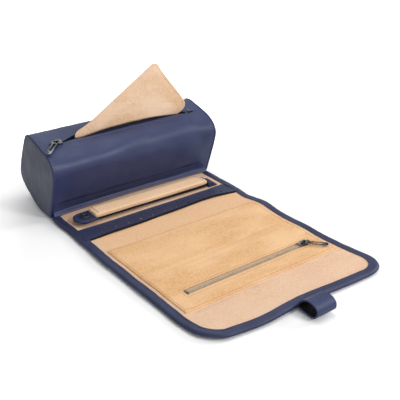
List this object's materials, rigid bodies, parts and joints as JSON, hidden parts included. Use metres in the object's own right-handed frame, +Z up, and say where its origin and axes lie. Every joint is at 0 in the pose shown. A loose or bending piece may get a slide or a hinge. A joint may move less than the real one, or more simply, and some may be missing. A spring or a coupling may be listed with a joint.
{
  "type": "jewelry roll",
  "caption": "Leather jewelry roll with a zipped bolster, a loose pouch in its mouth, a folding panel with ring bar, earring strip and zip pocket, and a closure loop.",
  "frame": {"origin": "on the floor, mid-width, at the foot of the bolster where the panel starts", "axes": "+X along the bolster to the right, +Y to the back, +Z up; the panel runs towards -Y"},
  "size_m": [0.216, 0.3815, 0.1478],
  "materials": {
    "navy_leather": "smooth navy leather, satin",
    "cap_leather": "smooth slate navy leather, satin",
    "tan_suede": "tan microsuede, matt nap",
    "pale_suede": "paler tan microsuede, matt nap",
    "bar_padding": "soft padding",
    "zip_tape": "woven taupe tape",
    "zip_metal": "dark nickel plate",
    "snap_metal": "black press stud"
  },
  "bodies": {
    "bolster": {"bolster_wrap": "navy_leather", "bolster_lining": "tan_suede", "end_cap_left": "cap_leather", "end_cap_right": "cap_leather", "end_piping_left": "navy_leather", "end_piping_right": "navy_leather", "foot_band": "navy_leather", "mouth_tape_front": "navy_leather", "mouth_tape_back": "navy_leather", "mouth_teeth_front": "zip_metal", "mouth_teeth_back": "zip_metal", "throat_teeth_front": "zip_metal", "throat_teeth_back": "zip_metal", "mouth_end_stop": "zip_metal"},
    "mouth_slider": {"mouth_slider": "zip_metal"},
    "mouth_pull": {"mouth_pull": "zip_metal"},
    "pouch": {"pouch_front_ply": "tan_suede", "pouch_back_ply": "pale_suede"},
    "ring_section": {"ring_section_leather": "navy_leather", "ring_section_suede": "tan_suede", "ring_binding_left": "navy_leather", "ring_binding_right": "navy_leather", "earring_strip": "navy_leather", "snap_stud": "snap_metal", "ring_bar_anchor_tab": "navy_leather"},
    "ring_bar": {"ring_bar_cover": "tan_suede", "ring_bar_core": "bar_padding", "ring_bar_snap_tab": "navy_leather", "snap_cap": "snap_metal"},
    "pocket_section": {"pocket_section_leather": "navy_leather", "pocket_section_suede": "tan_suede", "pocket_binding_left": "navy_leather", "pocket_binding_right": "navy_leather", "pocket_upper_panel": "tan_suede"},
    "zip_section": {"zip_section_leather": "navy_leather", "zip_section_suede": "tan_suede", "zip_binding_left": "navy_leather", "zip_binding_right": "navy_leather", "zip_pocket_panel": "tan_suede", "pocket_tape_front": "zip_tape", "pocket_tape_back": "zip_tape", "pocket_teeth_front": "zip_metal", "pocket_teeth_back": "zip_metal", "pocket_stop_left": "zip_metal", "pocket_stop_right": "zip_metal"},
    "pocket_slider": {"pocket_slider": "zip_metal"},
    "pocket_pull": {"pocket_pull": "zip_metal"},
    "flap": {"flap_leather": "navy_leather", "flap_suede": "pale_suede", "flap_binding": "navy_leather"},
    "closure_loop": {"closure_loop": "navy_leather"}
  },
  "joints": [
    {"name": "ring_section_fold", "type": "hinge", "parent": "bolster", "child": "ring_section", "pos_m": [0, -0.006, 0.0056], "axis": [-1, 0, 0], "range_deg": [0, 58]},
    {"name": "pocket_section_fold", "type": "hinge", "parent": "ring_section", "child": "pocket_section", "pos_m": [0, -0.08, 0.0056], "axis": [-1, 0, 0], "range_deg": [0, 104]},
    {"name": "zip_section_fold", "type": "hinge", "parent": "pocket_section", "child": "zip_section", "pos_m": [0, -0.162, 0.0056], "axis": [-1, 0, 0], "range_deg": [0, 54]},
    {"name": "flap_fold", "type": "hinge", "parent": "zip_section", "child": "flap", "pos_m": [0, -0.241, 0.0056], "axis": [-1, 0, 0], "range_deg": [0, 90]},
    {"name": "closure_loop_flex", "type": "hinge", "parent": "flap", "child": "closure_loop", "pos_m": [0.005, -0.2843, 0.005], "axis": [1, 0, 0], "range_deg": [-70, 0]},
    {"name": "ring_bar_open", "type": "hinge", "parent": "ring_section", "child": "ring_bar", "pos_m": [0.0789, -0.034, 0.0107], "axis": [0, -1, 0], "range_deg": [-95, 0]},
    {"name": "pouch_stow", "type": "hinge", "parent": "bolster", "child": "pouch", "pos_m": [-0.0592, 0.017, 0.0632], "axis": [0, 1, 0], "range_deg": [0, 32]},
    {"name": "mouth_slider_slide", "type": "slide", "parent": "bolster", "child": "mouth_slider", "axis": [1, 0, 0], "range_m": [0, 0.012]},
    {"name": "mouth_pull_flip", "type": "hinge", "parent": "mouth_slider", "child": "mouth_pull", "pos_m": [-0.087, 0.01192, 0.08384], "axis": [0.682, -0.708, -0.1833], "range_deg": [-100, 0]},
    {"name": "pocket_slider_slide", "type": "slide", "parent": "zip_section", "child": "pocket_slider", "axis": [1, 0, 0], "range_m": [-0.135, 0]},
    {"name": "pocket_pull_flip", "type": "hinge", "parent": "pocket_slider", "child": "pocket_pull", "pos_m": [0.073, -0.21, 0.0074], "axis": [0.7193, 0.6947, 0], "range_deg": [-100, 0]}
  ]
}
